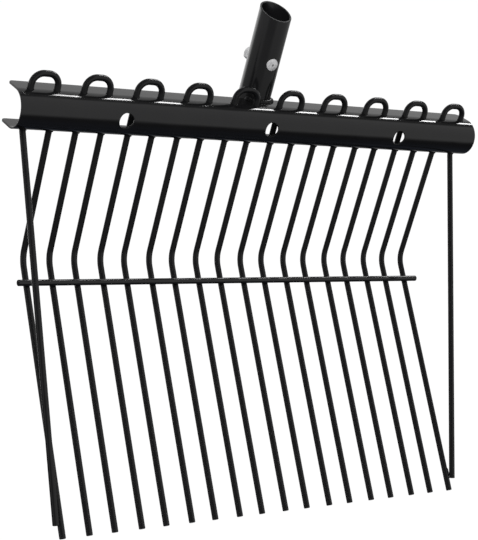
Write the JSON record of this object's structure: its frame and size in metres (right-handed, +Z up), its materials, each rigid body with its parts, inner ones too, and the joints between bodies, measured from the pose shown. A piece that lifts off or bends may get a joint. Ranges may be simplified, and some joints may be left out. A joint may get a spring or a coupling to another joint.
{
  "type": "pitchfork head",
  "caption": "Welded manure fork head: bent wire tines with a crossbar, a bent sheet channel and a tube socket for a round handle.",
  "frame": {"origin": "on the socket's axis where its full bore begins, at the low front edge of the slanted mouth", "axes": "+Z up along the socket's axis, out of its mouth; +X along the channel; -Y towards the load side, where the tines bend forward"},
  "size_m": [0.446, 0.1901, 0.3728],
  "materials": {
    "powder_coat": "satin black powder coat",
    "zinc": "zinc plated steel, dull"
  },
  "bodies": {
    "root": {"head_channel": "powder_coat", "crossbar": "powder_coat", "socket_tube": "powder_coat", "socket_weld_upper": "powder_coat", "socket_weld_lower": "powder_coat", "leg_welds": "powder_coat", "crossbar_welds": "powder_coat", "tip_welds": "powder_coat", "tine_hairpin_01": "powder_coat", "tine_hairpin_02": "powder_coat", "tine_hairpin_03": "powder_coat", "tine_hairpin_04": "powder_coat", "tine_hairpin_05": "powder_coat", "tine_hairpin_06": "powder_coat", "tine_hairpin_07": "powder_coat", "tine_hairpin_08": "powder_coat", "tine_hairpin_09": "powder_coat", "tine_hairpin_10": "powder_coat", "socket_screw_front": "zinc", "socket_screw_rear": "zinc"}
  },
  "joints": []
}
